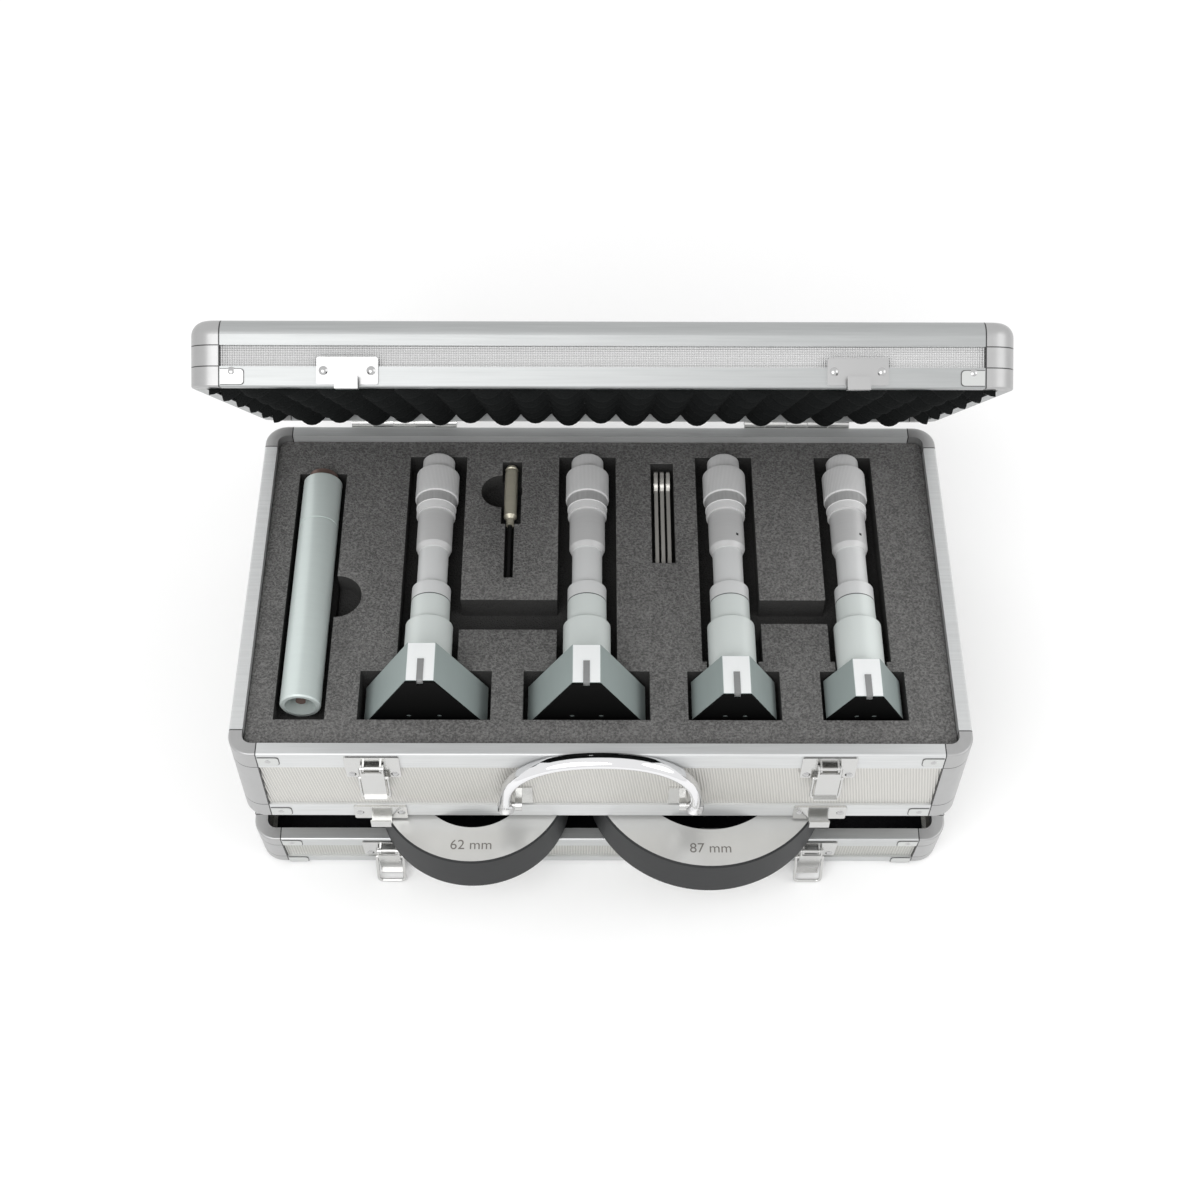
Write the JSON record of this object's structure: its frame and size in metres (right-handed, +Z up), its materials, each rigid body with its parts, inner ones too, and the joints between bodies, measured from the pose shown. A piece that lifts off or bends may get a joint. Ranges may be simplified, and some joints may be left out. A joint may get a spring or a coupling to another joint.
{
  "type": "micrometer case",
  "caption": "Two-deck aluminium case with hinged foam-lined tray and lid, holding three-point inside micrometers, an extension rod and setting rings.",
  "frame": {"origin": "centre of the lower tray's underside, on the surface that the case stands on", "axes": "+X to the right along the long side, +Y to the hinges at the back, +Z up"},
  "size_m": [0.3818, 0.2825, 0.3072],
  "materials": {
    "facing": "pale ribbed aluminium laminate on thin plywood",
    "lid_facing": "silver-white laminate with a fine diamond pattern on thin plywood",
    "rail": "satin anodised extrusion",
    "corner": "satin metal corner",
    "nickel": "bright nickel plate",
    "rivet": "domed rivet heads",
    "chrome_handle": "bright chrome",
    "pin_steel": "plain steel pin",
    "foam": "charcoal sponge foam",
    "lid_foam": "black egg-tray foam",
    "lining": "thin black lining",
    "satin_chrome": "satin chrome with a green-grey cast",
    "thimble": "satin chrome, knurled grip",
    "head_black": "black end plate with bright carbide anvils",
    "rod": "satin chrome",
    "rod_stud": "bronzed steel stud",
    "driver_handle": "dull nickel",
    "black_steel": "blackened steel",
    "spanner": "polished spring steel",
    "ring": "ground faces, black oxide rim"
  },
  "bodies": {
    "lower_tray": {"base_boards": "facing", "base_mouth_rails": "rail", "base_edge_rails": "rail", "base_corners": "corner", "base_rivets": "rivet", "base_lining": "lining", "base_latch_plates": "nickel", "base_hinge_leaves": "nickel", "lower_hinge_pins": "pin_steel"},
    "upper_tray": {"tray_boards": "facing", "tray_mouth_rails": "rail", "tray_edge_rails": "rail", "tray_corners": "corner", "tray_rivets": "rivet", "tray_foam": "foam", "tray_foam_pad": "foam", "tray_keepers": "nickel", "tray_latch_plates": "nickel", "handle_brackets": "nickel", "tray_lower_leaves": "nickel", "tray_upper_leaves": "nickel", "upper_hinge_pins": "pin_steel"},
    "lid": {"lid_boards": "lid_facing", "lid_mouth_rails": "rail", "lid_edge_rails": "rail", "lid_corners": "corner", "lid_rivets": "rivet", "lid_foam": "lid_foam", "lid_keepers": "nickel", "lid_hinge_leaves": "nickel"},
    "lower_lever_left": {"lower_lever_left": "nickel"},
    "lower_bail_left": {"lower_bail_left": "nickel"},
    "lower_lever_right": {"lower_lever_right": "nickel"},
    "lower_bail_right": {"lower_bail_right": "nickel"},
    "upper_lever_left": {"upper_lever_left": "nickel"},
    "upper_bail_left": {"upper_bail_left": "nickel"},
    "upper_lever_right": {"upper_lever_right": "nickel"},
    "upper_bail_right": {"upper_bail_right": "nickel"},
    "handle": {"handle": "chrome_handle"},
    "micrometer_1": {"micrometer_1_body": "satin_chrome", "micrometer_1_head_fittings": "head_black"},
    "micrometer_1_thimble": {"micrometer_1_thimble": "thimble"},
    "micrometer_2": {"micrometer_2_body": "satin_chrome", "micrometer_2_head_fittings": "head_black"},
    "micrometer_2_thimble": {"micrometer_2_thimble": "thimble"},
    "micrometer_3": {"micrometer_3_body": "satin_chrome", "micrometer_3_head_fittings": "head_black"},
    "micrometer_3_thimble": {"micrometer_3_thimble": "thimble"},
    "micrometer_4": {"micrometer_4_body": "satin_chrome", "micrometer_4_head_fittings": "head_black"},
    "micrometer_4_thimble": {"micrometer_4_thimble": "thimble"},
    "extension_rod": {"extension_rod": "rod", "rod_stud": "rod_stud"},
    "screwdriver": {"screwdriver_handle": "driver_handle", "screwdriver_blade": "black_steel"},
    "spanners": {"spanners": "spanner"},
    "setting_ring_62": {"setting_ring_62": "ring"},
    "setting_ring_87": {"setting_ring_87": "ring"}
  },
  "joints": [
    {"name": "tray_hinge", "type": "hinge", "parent": "lower_tray", "child": "upper_tray", "pos_m": [0, 0.1112, 0.03615], "axis": [-1, 0, 0], "range_deg": [0, 75]},
    {"name": "lid_hinge", "type": "hinge", "parent": "upper_tray", "child": "lid", "pos_m": [0, 0.12018, 0.10184], "axis": [-1, 0, 0], "range_deg": [-54, 40], "deforming": ["lid_foam"]},
    {"name": "lower_lever_left_turn", "type": "hinge", "parent": "lower_tray", "child": "lower_lever_left", "pos_m": [-0.1165, -0.1116, 0.0285], "axis": [-1, 0, 0], "range_deg": [0, 90]},
    {"name": "lower_bail_left_turn", "type": "hinge", "parent": "lower_lever_left", "child": "lower_bail_left", "pos_m": [-0.1165, -0.1116, 0.019], "axis": [1, 0, 0], "range_deg": [-127, 0]},
    {"name": "lower_lever_right_turn", "type": "hinge", "parent": "lower_tray", "child": "lower_lever_right", "pos_m": [0.1165, -0.1116, 0.0285], "axis": [-1, 0, 0], "range_deg": [0, 90]},
    {"name": "lower_bail_right_turn", "type": "hinge", "parent": "lower_lever_right", "child": "lower_bail_right", "pos_m": [0.1165, -0.1116, 0.019], "axis": [1, 0, 0], "range_deg": [-127, 0]},
    {"name": "upper_lever_left_turn", "type": "hinge", "parent": "upper_tray", "child": "upper_lever_left", "pos_m": [-0.1165, -0.1016, 0.12445], "axis": [-1, 0, 0], "range_deg": [0, 90]},
    {"name": "upper_bail_left_turn", "type": "hinge", "parent": "upper_lever_left", "child": "upper_bail_left", "pos_m": [-0.1165, -0.10289, 0.11503], "axis": [1, 0, 0], "range_deg": [-180, 0]},
    {"name": "upper_lever_right_turn", "type": "hinge", "parent": "upper_tray", "child": "upper_lever_right", "pos_m": [0.1165, -0.1016, 0.12445], "axis": [-1, 0, 0], "range_deg": [0, 90]},
    {"name": "upper_bail_right_turn", "type": "hinge", "parent": "upper_lever_right", "child": "upper_bail_right", "pos_m": [0.1165, -0.10289, 0.11503], "axis": [1, 0, 0], "range_deg": [-180, 0]},
    {"name": "handle_swing", "type": "hinge", "parent": "upper_tray", "child": "handle", "pos_m": [0, -0.10826, 0.09053], "axis": [1, 0, 0], "range_deg": [0, 110]},
    {"name": "micrometer_1_lift", "type": "slide", "parent": "upper_tray", "child": "micrometer_1", "axis": [0, 0.1355, 0.9908], "range_m": [0, 0.02]},
    {"name": "micrometer_1_thimble_turn", "type": "hinge", "parent": "micrometer_1", "child": "micrometer_1_thimble", "pos_m": [-0.0915, 0.04074, 0.10548], "axis": [0, 0.9908, -0.1355], "continuous": true},
    {"name": "micrometer_2_lift", "type": "slide", "parent": "upper_tray", "child": "micrometer_2", "axis": [0, 0.1355, 0.9908], "range_m": [0, 0.02]},
    {"name": "micrometer_2_thimble_turn", "type": "hinge", "parent": "micrometer_2", "child": "micrometer_2_thimble", "pos_m": [-0.0074, 0.04074, 0.10548], "axis": [0, 0.9908, -0.1355], "continuous": true},
    {"name": "micrometer_3_lift", "type": "slide", "parent": "upper_tray", "child": "micrometer_3", "axis": [0, 0.1355, 0.9908], "range_m": [0, 0.02]},
    {"name": "micrometer_3_thimble_turn", "type": "hinge", "parent": "micrometer_3", "child": "micrometer_3_thimble", "pos_m": [0.0695, 0.04074, 0.10548], "axis": [0, 0.9908, -0.1355], "continuous": true},
    {"name": "micrometer_4_lift", "type": "slide", "parent": "upper_tray", "child": "micrometer_4", "axis": [0, 0.1355, 0.9908], "range_m": [0, 0.02]},
    {"name": "micrometer_4_thimble_turn", "type": "hinge", "parent": "micrometer_4", "child": "micrometer_4_thimble", "pos_m": [0.137, 0.04074, 0.10548], "axis": [0, 0.9908, -0.1355], "continuous": true},
    {"name": "extension_rod_lift", "type": "slide", "parent": "upper_tray", "child": "extension_rod", "axis": [0, 0.1355, 0.9908], "range_m": [0, 0.02]},
    {"name": "screwdriver_lift", "type": "slide", "parent": "upper_tray", "child": "screwdriver", "axis": [0, 0.1355, 0.9908], "range_m": [0, 0.02]},
    {"name": "spanners_lift", "type": "slide", "parent": "upper_tray", "child": "spanners", "axis": [0, 0.1355, 0.9908], "range_m": [0, 0.02]},
    {"name": "setting_ring_62_slide", "type": "slide", "parent": "lower_tray", "child": "setting_ring_62", "axis": [0, -0.9908, 0.1355], "range_m": [0, 0.06]},
    {"name": "setting_ring_87_slide", "type": "slide", "parent": "lower_tray", "child": "setting_ring_87", "axis": [0, -0.9908, 0.1355], "range_m": [0, 0.06]}
  ]
}
